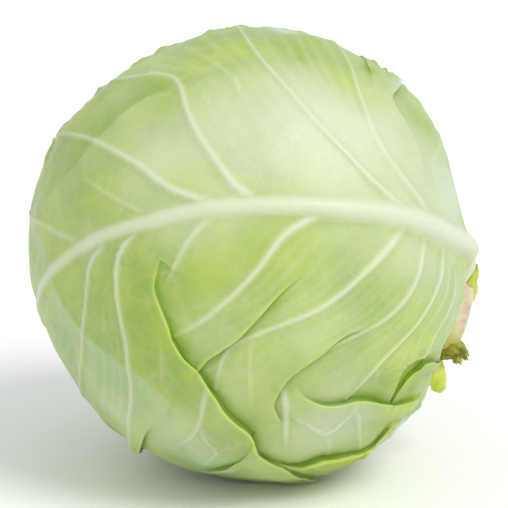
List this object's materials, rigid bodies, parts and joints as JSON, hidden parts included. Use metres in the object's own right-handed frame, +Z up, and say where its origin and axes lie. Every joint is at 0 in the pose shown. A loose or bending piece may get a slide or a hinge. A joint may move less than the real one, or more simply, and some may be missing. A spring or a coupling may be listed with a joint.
{
  "type": "cabbage head",
  "caption": "Green cabbage head lying on its side, wrapped in ribbed outer leaves, with its cut stem",
  "frame": {"origin": "middle of the small flat spot that the head rests on, straight below the head's centre", "axes": "+Z up, +X towards the cut stem, -Y towards the front leaf, which wraps the side that is seen"},
  "size_m": [0.1775, 0.183, 0.1764],
  "materials": {
    "outer_leaf": "waxy green leaf with pale veins",
    "heart_leaf": "pale green leaf",
    "stem": "cream stalk, cut and slightly dried",
    "torn_leaf": "yellow-green torn leaf base",
    "dried_leaf": "brown dried leaf base"
  },
  "bodies": {
    "root": {"heart": "heart_leaf", "leaf_front": "outer_leaf", "leaf_under": "outer_leaf", "leaf_top": "outer_leaf", "leaf_back": "outer_leaf", "stem": "stem", "torn_leaf_upper": "torn_leaf", "torn_leaf_lower": "torn_leaf", "dried_leaf_base": "dried_leaf"}
  },
  "joints": []
}
